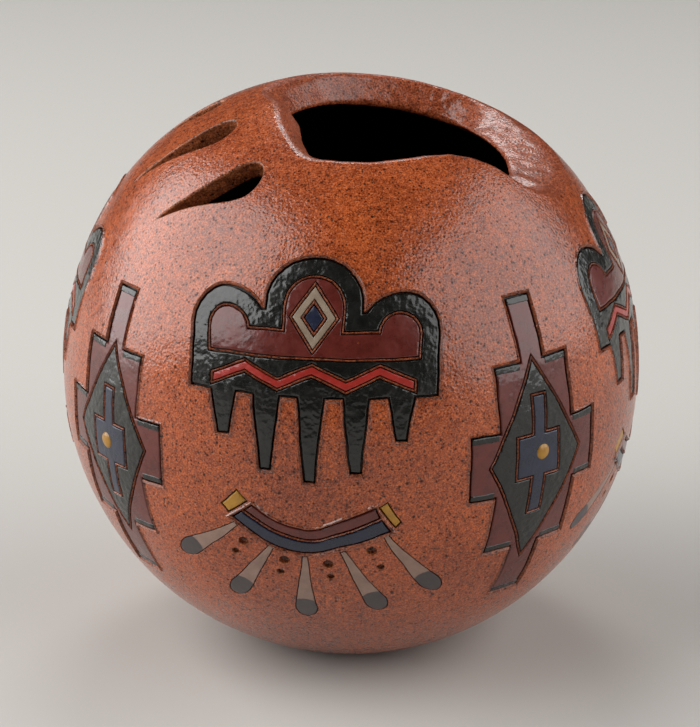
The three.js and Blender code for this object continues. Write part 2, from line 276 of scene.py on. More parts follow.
def fired_clay(name, light, dark, speck, roughness, grit_depth, polish=0.0, recess_shade=None):
    """Unglazed, burnished earthenware with dark grit. It is mottled by the fire, semi-matt, and
    sandy to the touch. In a carved groove the colour darkens with depth below the skin: painted
    shade."""
    material, shader = new_material(name)
    link = material.node_tree.links.new
    where = add_place(material)

    # Clouds of the firing, then small patches
    clouds = add_noise(material, where, CLOUDS, 4, 0.55)
    patches = add_noise(material, where, PATCHES, 3, 0.6)
    blend = add_math(material, "MULTIPLY_ADD", patches, 1.3, -0.65)
    amount = add_math(material, "ADD", clouds, blend, clamp=True)
    ground = add_ramp(material, amount, (0.25, dark), (0.75, light))

    # Grains of clay, darker and lighter than the ground, and some of pale sand
    grain = add_noise(material, where, GRAINS, 2, 0.8)
    shade = add_range(material, grain, (0.3, 0.7), (0.15, 1.6), clamp=False)
    grained = add_node(
        material, "ShaderNodeVectorMath", {"operation": "SCALE"}, {0: ground, "Scale": shade}
    )
    sandy = add_range(material, grain, (0.5, 0.72), (0, 0.35))
    colour = add_mix(material, sandy, grained.outputs[0], linear(SAND_COLOUR))

    # Grit: dark matt specks, from sparse large ones to dense small ones
    matt = 0.0
    for spacing, size, strength in GRIT:
        cells = add_node(
            material, "ShaderNodeTexVoronoi", {}, {"Vector": where, "Scale": 1000 / spacing}
        )
        picked = add_node(
            material, "ShaderNodeSeparateColor", {}, {"Color": cells.outputs["Color"]}
        )
        radius = add_math(material, "MULTIPLY", picked.outputs["Red"], size / spacing * 1.5)
        inside = add_range(
            material, cells.outputs["Distance"], (radius, 0.0), (0.0, strength * 2)
        )
        colour = add_mix(material, inside, colour, linear(speck))
        matt = add_math(material, "MAXIMUM", inside, matt)
    for socket, full in (("Specular IOR Level", 0.5), ("Coat Weight", polish)):
        if full:
            link(add_range(material, matt, (0, 1), (full, full / 2)), shader.inputs[socket])

    # Painted shade: the rough clay in the carving darkens with depth below the skin
    if recess_shade:
        carved = add_range(material, add_attribute(material, "depth"), RECESS_SHADE_DEPTHS)
        colour = add_mix(material, carved, colour, linear(recess_shade))
    link(colour, shader.inputs["Base Color"])

    # The burnish is uneven, so the gloss varies from patch to patch
    gloss = add_range(material, patches, (0.3, 0.7), (roughness - 0.08, roughness + 0.08))
    link(gloss, shader.inputs["Roughness"])

    # Sand stands out of the skin by about a tenth of a millimetre, over the scraper's marks
    sand = add_noise(material, where, SANDS, 0.6, 0.5)
    fine = add_bump(material, sand, grit_depth)
    scraping = add_noise(material, where, SCRAPES, 3, 0.5)
    relief = add_bump(material, scraping, SCRAPE_DEPTH, fine)
    for socket in ("Normal", "Coat Normal"):
        link(relief, shader.inputs[socket])
    shader.inputs["IOR"].default_value = CLAY_IOR
    shader.inputs["Coat Roughness"].default_value = 0.12
    return material


# Each groove colour below is painted shade, laid on carved clay by its depth below the skin
skin_clay = fired_clay(
    "burnished_clay", "#b14f1c", "#84330f", "#33160c", 0.3, 0.0001, polish=0.45, recess_shade="#230d07"
)
tooled_clay = fired_clay(
    "tooled_clay", "#944420", "#652a12", "#220d07", 0.26, 0.00008, polish=0.7, recess_shade="#230d07"
)
groove_clay = fired_clay(
    "carved_clay", "#8c4426", "#5f2814", "#2a120a", 0.4, 0.00008, recess_shade="#120805"
)
lip_clay = fired_clay("cut_lip_clay", "#a04a28", "#783118", "#4a1f10", 0.36, 0.0001, polish=0.2)
claw_clay = fired_clay("cut_claw_clay", "#a55a33", "#66331b", "#1d0c07", 0.4, 0.0001)
inner_clay = fired_clay("shaded_inner_clay", "#7c3a1c", "#4d2010", "#1d0c07", 0.3, 0.00006)


def paint_inside_shade(material):
    """Painted shade: the inside turns near-black, apart from a hand's breadth round the mouth."""
    colour = material.node_tree.nodes["Principled BSDF"].inputs["Base Color"]
    clay = colour.links[0].from_socket
    black = add_mix(material, add_attribute(material, "inside_shade"), clay, linear(INSIDE_SHADE_COLOUR))
    material.node_tree.links.new(black, colour)


paint_inside_shade(inner_clay)


def profile(points):
    """Turns a row of radii and heights into a closed shell."""
    bm = bmesh.new()
    verts = [bm.verts.new((radius, 0, height)) for radius, height in points]
    edges = [bm.edges.new(pair) for pair in zip(verts, verts[1:])]
    bmesh.ops.spin(
        bm, geom=verts + edges, cent=(0, 0, 0), axis=(0, 0, 1), angle=2 * math.pi,
        steps=AROUND, use_merge=True,
    )
    bmesh.ops.remove_doubles(bm, verts=bm.verts, dist=1e-4)
    bmesh.ops.recalc_face_normals(bm, faces=bm.faces)
    return bm


foot_latitude = -math.atan2(FOOT_DROP, FOOT_RADIUS)
outer_points = [(0, -FOOT_DROP)]
for share in (0.25, 0.5, 0.75, 1):
    outer_points.append(((FOOT_RADIUS - FOOT_EDGE) * share, -FOOT_DROP))
start = foot_latitude + FOOT_EDGE / BODY_RADIUS
for row in range(OUTER_ROWS + 1):
    latitude = start + (math.pi / 2 - start) * row / OUTER_ROWS
    distance = reach(latitude)
    outer_points.append((abs(distance * math.cos(latitude)), distance * math.sin(latitude)))
outer_points[-1] = (0, outer_points[-1][1])
wall_bm = profile(outer_points)
for vert in wall_bm.verts:
    if vert.co.z > 1 - FOOT_DROP:
        direction = vert.co.normalized()
        vert.co += direction * unevenness(direction)

inner_points = []
inner_floor = FLOOR_THICKNESS - FOOT_DROP
for row in range(INNER_ROWS + 1):
    latitude = -math.pi / 2 + math.pi * row / INNER_ROWS
    distance = reach(latitude) - WALL_THICKNESS
    height = max(distance * math.sin(latitude), inner_floor)
    inner_points.append((abs(distance * math.cos(latitude)), height))
inner_points[0] = (0, inner_floor)
inner_points[-1] = (0, inner_points[-1][1])
inner_bm = profile(inner_points)
for vert in inner_bm.verts:
    if vert.co.z > 0:
        direction = vert.co.normalized()
        vert.co -= direction * (thickness(direction) - WALL_THICKNESS)
bmesh.ops.reverse_faces(inner_bm, faces=inner_bm.faces)
for face in inner_bm.faces:
    face.material_index = 1
inner_mesh = bpy.data.meshes.new("inner")
inner_bm.to_mesh(inner_mesh)
inner_bm.free()
wall_bm.from_mesh(inner_mesh)
for vert in wall_bm.verts:
    vert.co = (vert.co + Vector((0, 0, FOOT_DROP))) / 1000
wall = new_piece("clay_wall", wall_bm, skin_clay, inner_clay)

# The mouth is shaped as a broad paw pad and was cut with a knife through the leather-hard
# shoulder, then wiped with a wet finger, so its lip is thick, rounded and a little lumpy.
# Beside it lie four claws, cut the same way but left sharper, each tapering to a point.
PAD_OUTLINE = [
    (-20.2, 2), (-17.2, -10), (-15.2, -24), (-9.8, -35.2), (1, -38.4), (12, -36.3),
    (23, -31.2), (33.5, -28.1), (43.5, -27.2), (50, -21.5), (52.9, -12), (51.5, 2),
    (45, 15), (34, 25), (20, 29.5), (6, 29), (-6, 24), (-15, 14),
]
CLAW_ENDS = [(-21.5, -38.5), (-28.7, -17), (-32.3, 5.4), (-27, 28.5)]
CLAW_HEADINGS = [168.7, 166.4, 164, 160]
CLAW_LENGTH = 26.3
CLAW_HALF_WIDTH = 4.4
CLAW_BEND = 1.2
CLAW_TAPER = ((0.28, 0.93), (0.4, 0.74), (0.55, 0.5), (0.75, 0.25), (0.97, 0.05))
CLAW_ROUNDING = 0.5
CLAW_OPENING = 0.9
LIP_ROUNDING = 1.7
WORN_ROUNDING = 3.2
WORN_LEFT = (-4, -13)
WORN_RIGHT = (34, 46)
RIGHT_WEAR = 0.4
KNIFE_LEAN = 0.5
KNIFE_LEAN_LEFT = 2.8
LEANING_LEFT = (-4, -14)
KNIFE_LEAN_RIGHT = 9
LEANING_RIGHT = (26, 46)
LEANING_BACK = (-31, -17)
KNIFE_CURVE = 1.3
# Depth of the lip's waves, wiping marks and lumps, and how quickly they follow
LIP_WAVE = (0.3, 0.35)
WIPE_MARKS = (0.18, 0.09, 0.75)
LUMPS = (0.7, 0.9, 30)
LUMP_MIDDLE = Vector((25, 27))
EVEN_LEFT = (-8, 15)
CUT_STEP = 0.8
RING_STEP = 0.6
ROUNDING_TURNS = [math.radians(turn) for turn in (72, 54, 36, 18, 0)]
# Where a cut is clear of the clay: how far past its face, and how much wider it is there
CLEAR_OUTSIDE = (0.8, 2.4)
CLEAR_INSIDE = ((1, 3), (3, 3))
# How quickly a hand-held knife wanders and trembles
WANDER_QUICKNESS = 0.13
TREMOR_QUICKNESS = 0.6
TREMOR_SHARE = 0.3


def on_shoulder(x, y):
    """Direction to a place on the shoulder, given as it is seen from above."""
    share = min(0.99, math.hypot(x, y) / BODY_RADIUS)
    z = SHOULDER_RISE * (1 - share**SHOULDER_POWER) ** (1 / SHOULDER_POWER)
    return Vector((x, y, z)).normalized()


def smooth_stretch(a, b, c, d, parts):
    """Points from b up to c on the smooth curve through four points."""
    result = []
    for part in range(parts):
        t = part / parts
        result.append(tuple(
            0.5 * ((2 * b) + (c - a) * t + (2 * a - 5 * b + 4 * c - d) * t**2
            + (3 * b - a - 3 * c + d) * t**3)
        ))
    return result


def closed_curve(points, step):
    """A smooth closed curve through points, with a new point at every step."""
    dense = []
    count = len(points)
    for i in range(count):
        dense += smooth_stretch(*(Vector(points[(i + k) % count]) for k in (-1, 0, 1, 2)), 12)
    return evenly_spaced(dense, step)


def divided(outline, step):
    """An outline with points added along its edges."""
    result = []
    for (x, y), (next_x, next_y) in zip(outline, outline[1:] + outline[:1]):
        parts = max(1, math.ceil(math.hypot(next_x - x, next_y - y) / step - 1e-6))
        for k in range(parts):
            result.append((x + (next_x - x) * k / parts, y + (next_y - y) * k / parts))
    return result


def evenly_spaced(outline, step):
    """An outline drawn again with points at an even distance all round."""
    closed = outline + outline[:1]
    lengths = [math.dist(a, b) for a, b in zip(closed, closed[1:])]
    count = round(sum(lengths) / step)
    spacing = sum(lengths) / count
    result, travelled, i = [], 0, 0
    for k in range(count):
        while travelled + lengths[i] < k * spacing:
            travelled += lengths[i]
            i += 1
        share = (k * spacing - travelled) / lengths[i]
        result.append(tuple(Vector(closed[i]).lerp(Vector(closed[i + 1]), share)))
    return result


def grown(outline, distance):
    """An outline moved outwards all round, or inwards where the distance is negative."""
    count = len(outline)
    area = sum(
        outline[i - 1][0] * outline[i][1] - outline[i][0] * outline[i - 1][1]
        for i in range(count)
    )
    side = 1 if area > 0 else -1
    result = []
    for i, (x, y) in enumerate(outline):
        into = (Vector((x, y)) - Vector(outline[i - 1])).normalized()
        out = (Vector(outline[(i + 1) % count]) - Vector((x, y))).normalized()
        normal = Vector((into.y + out.y, -into.x - out.x)).normalized()
        mitre = side * distance / (normal.x * out.y - normal.y * out.x)
        result.append((x + normal.x * mitre, y + normal.y * mitre))
    return result


def prism(name, outline, rings, finish=None):
    """A closed block over an outline. Each ring gives a height and how far it is grown."""
    bm = bmesh.new()
    order = bm.verts.layers.int.new("order")
    height, growth = rings[0]
    first = []
    for i, (x, y) in enumerate(grown(outline, growth)):
        vert = bm.verts.new((x, y, height))
        vert[order] = i
        first.append(vert)
    top = bm.faces.new(first)
    for height, growth in rings[1:]:
        points = grown(outline, growth)
        whole_top = [top, *top.edges, *top.verts]
        raised = bmesh.ops.extrude_face_region(bm, geom=whole_top)["geom"]
        top = next(part for part in raised if isinstance(part, bmesh.types.BMFace))
        for vert in top.verts:
            vert.co = (*points[vert[order]], height)
    bmesh.ops.recalc_face_normals(bm, faces=bm.faces)
    return new_piece(name, bm, *([finish] if finish else []))


def wrap(piece, direction, wander=0):
    """Bends a piece from its flat drawing onto the ball, with the wander of a hand-held knife."""
    middle = direction(0, 0)
    for vert in piece.data.vertices:
        x, y, height = vert.co
        spot = Vector((x, y, 0))
        shift = noise.noise_vector(spot * WANDER_QUICKNESS + middle * 9) * wander
        tremor = noise.noise_vector(spot * TREMOR_QUICKNESS + middle * 5) * wander
        shift += tremor * TREMOR_SHARE
        vert.co = in_place(direction(x + shift.x, y + shift.y), height)
    return piece


def rounded_cut(thickness, rounding, high):
    """Rings of a cut through the wall, rounded where it meets the skin and the inside."""
    outside = [
        (rounding * (math.sin(a) - 1), rounding * (1 - math.cos(a))) for a in ROUNDING_TURNS
    ]
    steps = round((thickness - 2 * rounding) / RING_STEP)
    middle = [
        (-rounding - (thickness - 2 * rounding) * k / steps, 0) for k in range(1, steps)
    ]
    inside = [(-thickness - h, growth) for h, growth in reversed(outside)]
    widest = outside[0][1]
    deep = [(-thickness - past, widest + wider) for past, wider in CLEAR_INSIDE]
    past, wider = CLEAR_OUTSIDE
    return [(high, 3 * rounding + 2), (past, widest + wider)] + outside + middle + inside + deep


def claw(end, heading):
    """A claw seen from above, from its round end to its point, with a slight bend."""
    turn = math.radians(heading)
    half = []
    for k in range(1, 8):
        angle = math.pi / 2 * k / 7
        half.append((CLAW_HALF_WIDTH * (1 - math.cos(angle)), CLAW_HALF_WIDTH * math.sin(angle)))
    half += [(CLAW_LENGTH * along, CLAW_HALF_WIDTH * share) for along, share in CLAW_TAPER]
    whole = [(0, 0)] + half + [(CLAW_LENGTH, 0)] + [(a, -w) for a, w in reversed(half)]
    result = []
    for along, across in whole:
        across += CLAW_BEND * math.sin(math.pi * along / CLAW_LENGTH)
        result.append((
            end[0] + along * math.cos(turn) - across * math.sin(turn),
            end[1] + along * math.sin(turn) + across * math.cos(turn),
        ))
    return result


def flare(height, rounding):
    """How far a rounded edge has opened at a height under the skin."""
    return rounding * (1 - math.sqrt(1 - max(0, 1 + height / rounding) ** 2))


pad = closed_curve(PAD_OUTLINE, CUT_STEP)
mouth = prism("mouth_cut", pad, rounded_cut(LIP_THICKNESS, LIP_ROUNDING, 45), lip_clay)
for vert in mouth.data.vertices:
    x, y, height = vert.co
    if height < 0:
        # The knife leaned outwards at the left and, more, at the far right
        lean = KNIFE_LEAN + KNIFE_LEAN_LEFT * eased(x, *LEANING_LEFT)
        lean += KNIFE_LEAN_RIGHT * eased(x, *LEANING_RIGHT) * eased(y, *LEANING_BACK)
        away = Vector((x - MOUTH_MIDDLE[0], y - MOUTH_MIDDLE[1], 0)).normalized()
        vert.co -= away * lean * (-height / LIP_THICKNESS) ** KNIFE_CURVE
        # The edge is worn rounder at both ends
        worn = flare(height, WORN_ROUNDING) - flare(height, LIP_ROUNDING)
        vert.co += away * worn * (eased(x, *WORN_LEFT) + RIGHT_WEAR * eased(x, *WORN_RIGHT))
        if height > -LIP_THICKNESS:
            # Slow waves, marks of the wiping finger along the lip, and a patch of small lumps
            spot = Vector((x, y, height * 1.4))
            push = noise.noise(spot * LIP_WAVE[1]) * LIP_WAVE[0]
            depth, along, down = WIPE_MARKS
            push += noise.noise(Vector((x * along, y * along, height * down))) * depth
            depth, quickness, spread = LUMPS
            lump = depth * math.exp(-((vert.co.xy - LUMP_MIDDLE).length_squared) / spread)
            push += noise.noise(spot * quickness) * lump
            vert.co += away * push * (0.3 + 0.7 * eased(x, *EVEN_LEFT))
wrap(mouth, on_shoulder)
cutters = [mouth]
for number, (end, heading) in enumerate(zip(CLAW_ENDS, CLAW_HEADINGS), 1):
    rings = rounded_cut(CLAW_THICKNESS, CLAW_ROUNDING, 2)
    rings = [(h, min(growth, CLAW_OPENING)) for h, growth in rings]
    slot = prism(f"claw_{number}_cut", divided(claw(end, heading), CUT_STEP), rings, claw_clay)
    cutters.append(wrap(slot, on_shoulder))

# Fields for coloured slip are carved 1.2 mm into the wall, with a fine ridge of clay left
# between neighbours and a burr thrown up round the outside by the tool. Each field is filled
# by hand with slip that shrinks as it dries, so a gap stays all round it, its clay darkened
# with painted shade into a dark line.
CARVED_DEPTH = 1.2
RIDGE = 0.46
EDGE = (0.3, 0.1, 0.06)
BURR_FOOT = 0.8
BURR_CROWN = 0.3
BURR_HEIGHT = 0.34
BURR_ROOT = 0.6
# The dark gap beside a plate of slip, then the width of the plate's shoulder
WIDE_LINE = (0.34, 0.5)
FINE_LINE = (0.16, 0.3)
# The shoulder: how far below the face, and how much of its width is passed there
SHOULDER = ((0.42, 0), (0.14, 0.25), (0.03, 0.62))
SHOULDER_SLOPE = 3
BRUSH_LUMPS = ((1, 0.33), (0.6, 0.8))
HEADROOM = 0.4
PASSING = 0.5
TRIMMING = 0.2
CUT_SPREAD = 0.9
SLIP_BED = 0.05
CUTTER_GRID = 2.2
SLIP_GRID = 1.2
BLOCK_MARGIN = 1.5
OUTLINE_STEP = 1.2
WANDER = 0.35
burrs = []


def block(outline, bottom, top, grid, lumps=0, seed=0):
    """A slab a little larger than an outline, gridded so that it can bend."""
    xs, ys = zip(*outline)
    width = max(xs) - min(xs) + 2 * BLOCK_MARGIN
    depth = max(ys) - min(ys) + 2 * BLOCK_MARGIN
    bm = bmesh.new()
    bmesh.ops.create_grid(
        bm, x_segments=max(2, round(width / grid)), y_segments=max(2, round(depth / grid)),
        size=0.5,
    )
    bmesh.ops.scale(bm, verts=bm.verts, vec=(width, depth, 1))
    middle = ((max(xs) + min(xs)) / 2, (max(ys) + min(ys)) / 2, bottom)
    bmesh.ops.translate(bm, verts=bm.verts, vec=middle)
    whole_grid = bm.faces[:] + bm.edges[:] + bm.verts[:]
    raised = bmesh.ops.extrude_face_region(bm, geom=whole_grid)["geom"]
    for vert in raised:
        if isinstance(vert, bmesh.types.BMVert):
            spot = Vector((vert.co.x, vert.co.y, seed))
            height = sum(share * noise.noise(spot * quick) for share, quick in BRUSH_LUMPS)
            vert.co.z = top + lumps * height
    bmesh.ops.recalc_face_normals(bm, faces=bm.faces)
    return new_piece("block", bm)


def field_cutter(outline, openings=(), depth=CARVED_DEPTH):
    """The carving of one field, wider where it meets the skin."""
    cutter = block(outline, -depth, HEADROOM, CUTTER_GRID)
    cutter.data.materials.append(groove_clay)
    start, middle, widening = EDGE
    top = HEADROOM + TRIMMING
    rings = [(-depth - PASSING, 0), (-start, 0), (-middle, widening)]
    rings.append((top, widening + (top + middle) * CUT_SPREAD))
    around = divided(outline, OUTLINE_STEP)
    combine(cutter, prism("outside", around, rings, groove_clay), "INTERSECT")
    narrowing = [(height, -growth) for height, growth in rings]
    for opening in openings:
        inside = divided(grown(opening, RIDGE), OUTLINE_STEP)
        combine(cutter, prism("inside", inside, narrowing, groove_clay), "DIFFERENCE")
    return cutter


def raise_burr(outline, direction):
    """The low bank of clay round a motif, which stays between its fields too."""
    bank = block(outline, -BURR_ROOT, BURR_HEIGHT, SLIP_GRID, lumps=0.05, seed=11)
    bank.data.materials.append(tooled_clay)
    rings = [
        (-BURR_ROOT - TRIMMING, BURR_FOOT), (-0.05, BURR_FOOT),
        (BURR_HEIGHT + TRIMMING, BURR_CROWN),
    ]
    around = divided(outline, OUTLINE_STEP)
    combine(bank, prism("bank", around, rings, tooled_clay), "INTERSECT")
    burrs.append(wrap(bank, direction, WANDER))


def edge_rings(line, low, inwards):
    """Rings for a plate's side: a straight gap, then a round shoulder up to its face."""
    gap, shoulder = line
    rings = [(-CARVED_DEPTH - PASSING, gap)]
    rings += [(-low - depth, gap + shoulder * share) for depth, share in SHOULDER]
    rings.append((HEADROOM, gap + shoulder + HEADROOM * SHOULDER_SLOPE))
    return [(height, -growth if inwards else growth) for height, growth in rings]


def slip_plate(name, outline, openings, low, lumps, finish, seed, line, base=CARVED_DEPTH):
    """The slip in one field, with bevelled edges. Low is how far its face lies below the skin."""
    plate = block(outline, SLIP_BED - base, -low, SLIP_GRID, lumps, seed)
    plate.data.materials.append(finish)
    plate.name = name
    around = divided(outline, OUTLINE_STEP)
    combine(plate, prism("outside", around, edge_rings(line, low, True), finish), "INTERSECT")
    for opening in openings:
        inside = divided(grown(opening, RIDGE), OUTLINE_STEP)
        rings = edge_rings(FINE_LINE, low, False)
        combine(plate, prism("inside", inside, rings, finish), "DIFFERENCE")
    return plate


def fired_slip(name, colour, shade, sheen_roughness, lump_depth):
    """Coloured slip: fine clay painted on wet in several coats, smooth and satin once fired,
    with the ridges of the brush still in it."""
    material, shader = new_material(name)
    link = material.node_tree.links.new
    where = add_place(material)
    patches = add_noise(material, where, SLIP_PATCHES, 5, 0.65)
    ground = add_ramp(material, patches, (0.32, shade), (0.66, colour))
    link(ground, shader.inputs["Base Color"])
    gloss = (sheen_roughness - 0.06, sheen_roughness + 0.08)
    link(add_range(material, patches, (0.3, 0.7), gloss), shader.inputs["Roughness"])
    lumps = add_noise(material, where, BRUSH_RIDGES, 1.5, 0.5)
    relief = add_bump(material, lumps, lump_depth)
    for socket in ("Normal", "Coat Normal"):
        link(relief, shader.inputs[socket])
    shader.inputs["IOR"].default_value = CLAY_IOR
    shader.inputs["Coat Weight"].default_value = 0.4
    shader.inputs["Coat Roughness"].default_value = 0.1
    return material


slips = {
    "maroon": fired_slip("maroon_slip", "#62221a", "#4c1811", 0.28, 0.00009),
    "black": fired_slip("black_slip", "#141310", "#0a0a08", 0.26, 0.00025),
    "blue": fired_slip("blue_slip", "#1c2238", "#151a2c", 0.28, 0.0001),
    "grey": fired_slip("grey_slip", "#8f7e6c", "#7d6c5b", 0.42, 0.0001),
    "red": fired_slip("red_slip", "#a3281e", "#8b1f18", 0.36, 0.0001),
    "ochre": fired_slip("ochre_slip", "#ab7b1c", "#8f6211", 0.38, 0.00012),
}


def seat(piece, direction, node=None):
    """Bends a filled field onto the ball, shades it smooth, hangs it on the root and, if given,
    hides the part it stands for.
    """
    wrap(piece, direction, WANDER)
    smooth(piece)
    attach(piece, "root")
    if node:
        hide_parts(node)


def fill(node, direction, outline, openings=(), low=0.08, lumps=0.08, line=FINE_LINE, seed=0):
    """Fills a carved field with slip. A node's name ends with its colour."""
    colour = node.rsplit("_", 1)[1]
    plate = slip_plate(
        node + "_slip", outline, openings, low, lumps, slips[colour], seed, line
    )
    seat(plate, direction, node)


def carve(fields, direction, depth=CARVED_DEPTH):
    """Adds the carving of one motif's fields to what is cut from the wall."""
    whole = None
    for outline, openings in fields:
        cutter = field_cutter(outline, openings, depth)
        whole = combine(whole, cutter, "UNION") if whole else cutter
    cutters.append(wrap(whole, direction, WANDER))


# Stepped crosses, one on each quarter of the pot: maroon steps round a black diamond, with a
# blue cross in its middle and a dab of ochre on that. The ends of the steps are black.
CROSS_LONGITUDES = [38, 127.5, 217.5, 306.4]
CROSS_STEPS = [
    (4.5, -43.5), (4.5, -26.3), (12.6, -26.3), (12.6, -9.8), (19.8, -9.8), (19.8, 7.3),
    (11.4, 7.3), (11.4, 23.7), (3.6, 23.7), (3.6, 39.4),
]
CROSS_DIAMOND = [(0, -29.6), (14.1, -1.4), (0, 23.7), (-14.1, -1.4)]
BLUE_MIDDLES = [-0.6, -1.4, -1, -3]
BLUE_CROSS = [(1.8, -15.4), (1.8, -5.4), (6.4, -5.4), (6.4, 5.4), (1.8, 5.4), (1.8, 15.4)]
DOT_SHIFTS = [(1, 0.5), (-0.5, 0.3), (0.4, -0.5), (-1, 0.2)]
LEANS = [-0.035, 0, 0.02, 0]
HEIGHTS = [1, 1, 1, 0.94]
DOT_RADII = (2.05, 2.05, 0.7)
END_LINE = (0.3, 0.35)
END_BAND = 2.3


def mirrored(right_half):
    """A whole outline from its right half, which starts at the bottom."""
    return right_half + [(-x, y) for x, y in reversed(right_half)]


def leaning(outline, lean, height):
    """The crosses were drawn by hand: some lean in their upper half, and one is less tall."""
    return [(x + lean * max(0, y), y * height) for x, y in outline]


def step_ends():
    """The short level edges of the steps, each with its black band: left, right, low, high."""
    ends = []
    for (near, low), (far, high) in zip(CROSS_STEPS, CROSS_STEPS[1:]):
        if low == high and low > 0:
            ends += [(far, near, low - END_BAND, low), (-near, -far, low - END_BAND, low)]
        elif low == high:
            ends += [(near, far, low, low + END_BAND), (-far, -near, low, low + END_BAND)]
    width, bottom = CROSS_STEPS[0]
    ends.append((-width, width, bottom, bottom + END_BAND))
    width, top = CROSS_STEPS[-1]
    ends.append((-width, width, top - END_BAND, top))
    return ends


for number, longitude in enumerate(CROSS_LONGITUDES, 1):
    direction = on_side(longitude)
    cross = f"cross_{number}_"
    blue_middle = BLUE_MIDDLES[number - 1]
    drawn = (LEANS[number - 1], HEIGHTS[number - 1])
    steps = leaning(mirrored(CROSS_STEPS), *drawn)
    diamond = leaning(CROSS_DIAMOND, *drawn)
    blue = mirrored([(x, y * drawn[1] + blue_middle) for x, y in BLUE_CROSS])
    raise_burr(steps, direction)
    carve([(steps, [diamond]), (diamond, [blue]), (blue, [])], direction)
    fill(
        cross + "steps_maroon", direction, steps, [diamond], low=0.12, lumps=0.06,
        line=WIDE_LINE, seed=number,
    )
    fill(cross + "diamond_black", direction, diamond, [blue], low=0.07, lumps=0.12, seed=number)
    fill(cross + "cross_blue", direction, blue, low=0.02, seed=number)
    for count, (left, right, low, high) in enumerate(step_ends(), 1):
        strip = leaning([(left, low), (right, low), (right, high), (left, high)], *drawn)
        band = slip_plate(
            f"{cross}end_{count}_black_slip", strip, [], -0.02, 0.08, slips["black"], count,
            END_LINE, base=0.7,
        )
        seat(band, direction)
    bm = bmesh.new()
    bmesh.ops.create_uvsphere(bm, u_segments=24, v_segments=14, radius=1)
    bmesh.ops.scale(bm, verts=bm.verts, vec=DOT_RADII)
    right, up = DOT_SHIFTS[number - 1]
    bmesh.ops.translate(bm, verts=bm.verts, vec=(right, blue_middle + up, -0.15))
    dot = new_piece(cross + "dot_ochre_slip", bm, slips["ochre"])
    seat(dot, direction, cross + "dot_ochre")

# Rain-cloud panels between the crosses: a black cloud of three lobes with bars of rain, round
# a maroon heart that holds a grey lozenge with a blue one in it. A red line of lightning
# crosses the cloud's base.
PANEL_LONGITUDES = [-7.6, 82.4, 172.4, 262.4]
CLOUD_HALF_WIDTH = 31
CLOUD_BASE = 19
SIDE_LOBE = (10, 34)
TOP_LOBE = (12, 40.5)
CLOUD_LEVEL = 39.5
BLACK_BORDER = 5
BLACK_BASE_BAND = 9.6
LOZENGE_MIDDLE = 38
LIGHTNING_HALF = (25, 1.9)
LIGHTNING_THICKNESS = 2.2
LIGHTNING_TURNS = 6
RAIN_BARS = 5
RAIN_SPACING = 11
RAIN_HALF_TOP = 3.4
RAIN_HALF_TIP = 1.5
LONGEST_RAIN = -2
RAIN_SHORTENING = 2.6


def arc(x, y, radius, start, end, steps):
    """Points on an arc, from one angle to another."""
    turns = [start + (end - start) * k / steps for k in range(steps + 1)]
    return [(x + radius * math.cos(a), y + radius * math.sin(a)) for a in turns]


def cloud_edge(border, bottom):
    """The right half of the cloud's edge, drawn in by a border."""
    side_radius = SIDE_LOBE[0] - border
    level = CLOUD_LEVEL - border
    meeting = math.pi - math.asin((level - SIDE_LOBE[1]) / side_radius)
    lobe = arc(CLOUD_HALF_WIDTH - SIDE_LOBE[0], SIDE_LOBE[1], side_radius, 0, meeting, 10)
    top = arc(0, TOP_LOBE[1], TOP_LOBE[0] - border, 0, 0.47 * math.pi, 7)
    return [(CLOUD_HALF_WIDTH - border, bottom)] + lobe + [(TOP_LOBE[0] - border, level)] + top


def lozenge(half_width, half_height):
    """A lozenge in the middle of the cloud's heart."""
    return [
        (0, LOZENGE_MIDDLE - half_height), (half_width, LOZENGE_MIDDLE),
        (0, LOZENGE_MIDDLE + half_height), (-half_width, LOZENGE_MIDDLE),
    ]


rain = []
for bar in range(RAIN_BARS):
    place = bar - (RAIN_BARS - 1) / 2
    middle, end = place * RAIN_SPACING, LONGEST_RAIN + RAIN_SHORTENING * place**2
    rain += [(middle - RAIN_HALF_TOP, CLOUD_BASE), (middle - RAIN_HALF_TIP, end)]
    rain += [(middle + RAIN_HALF_TIP, end), (middle + RAIN_HALF_TOP, CLOUD_BASE)]
cloud = rain + mirrored(cloud_edge(0, CLOUD_BASE))
heart = mirrored(cloud_edge(BLACK_BORDER, CLOUD_BASE + BLACK_BASE_BAND))
grey_lozenge = lozenge(5.4, 7.6)
blue_lozenge = lozenge(2.4, 3.4)
turns = []
for k in range(LIGHTNING_TURNS + 1):
    sway = LIGHTNING_HALF[1] if k % 2 else -LIGHTNING_HALF[1]
    turns.append((
        LIGHTNING_HALF[0] * (2 * k / LIGHTNING_TURNS - 1), CLOUD_BASE + BLACK_BASE_BAND / 2 + sway
    ))
lightning = [(x, y - LIGHTNING_THICKNESS / 2) for x, y in turns]
lightning += [(x, y + LIGHTNING_THICKNESS / 2) for x, y in reversed(turns)]

for number, longitude in enumerate(PANEL_LONGITUDES, 1):
    direction = on_side(longitude)
    panel = f"panel_{number}_"
    raise_burr(cloud, direction)
    carve(
        [
            (cloud, [heart, lightning]), (heart, [grey_lozenge]),
            (grey_lozenge, [blue_lozenge]), (blue_lozenge, []), (lightning, []),
        ],
        direction,
    )
    fill(
        panel + "cloud_black", direction, cloud, [heart, lightning], low=0.06, lumps=0.14,
        line=WIDE_LINE, seed=number,
    )
    fill(panel + "heart_maroon", direction, heart, [grey_lozenge], lumps=0.07, seed=number)
    fill(panel + "lozenge_grey", direction, grey_lozenge, [blue_lozenge], low=0.05, lumps=0.06)
    fill(panel + "lozenge_blue", direction, blue_lozenge)
    fill(panel + "lightning_red", direction, lightning, seed=number)

